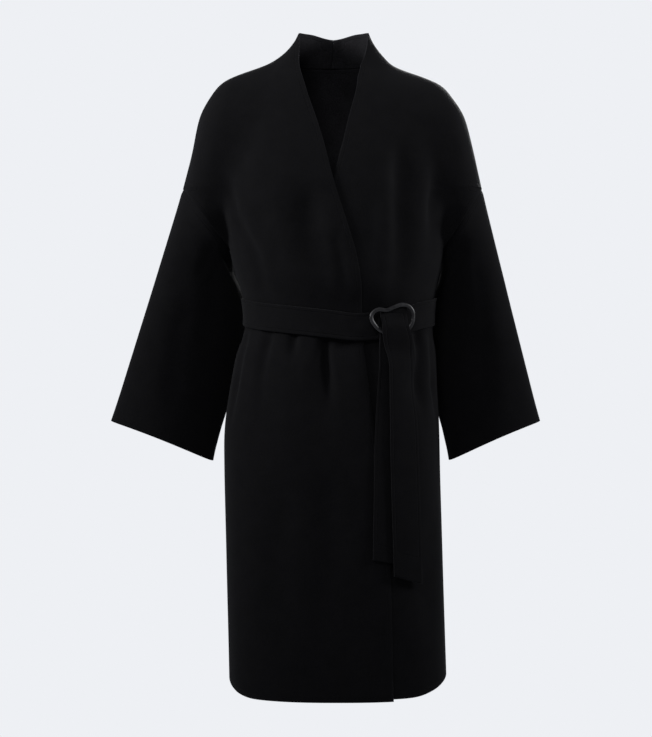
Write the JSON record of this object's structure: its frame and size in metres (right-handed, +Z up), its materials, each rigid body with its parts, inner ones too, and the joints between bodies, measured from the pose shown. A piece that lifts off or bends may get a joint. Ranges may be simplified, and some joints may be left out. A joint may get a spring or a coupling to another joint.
{
  "type": "belted wrap coat",
  "caption": "Collarless-looking wool wrap coat with a grown-on stand collar, dropped shoulders, wide sleeves and a cloth belt through a free-form ring buckle, filled out as if worn.",
  "frame": {"origin": "middle of the neck at shoulder height, where a wearer's shoulders carry the coat", "axes": "+Z up, the front faces -Y, +X is the wearer's left"},
  "size_m": [0.7079, 0.2934, 1.0846],
  "materials": {
    "wool": "black felted double-faced wool, matt with a short nap",
    "belt": "the same black wool, two layers stitched along the edges",
    "buckle": "dark grey satin"
  },
  "bodies": {
    "root": {"front_right": "wool", "front_left": "wool", "back": "wool", "sleeve_right": "wool", "sleeve_left": "wool", "belt_waist": "belt", "belt_tail_over": "belt", "belt_tail_under": "belt", "belt_ring": "buckle"}
  },
  "joints": []
}
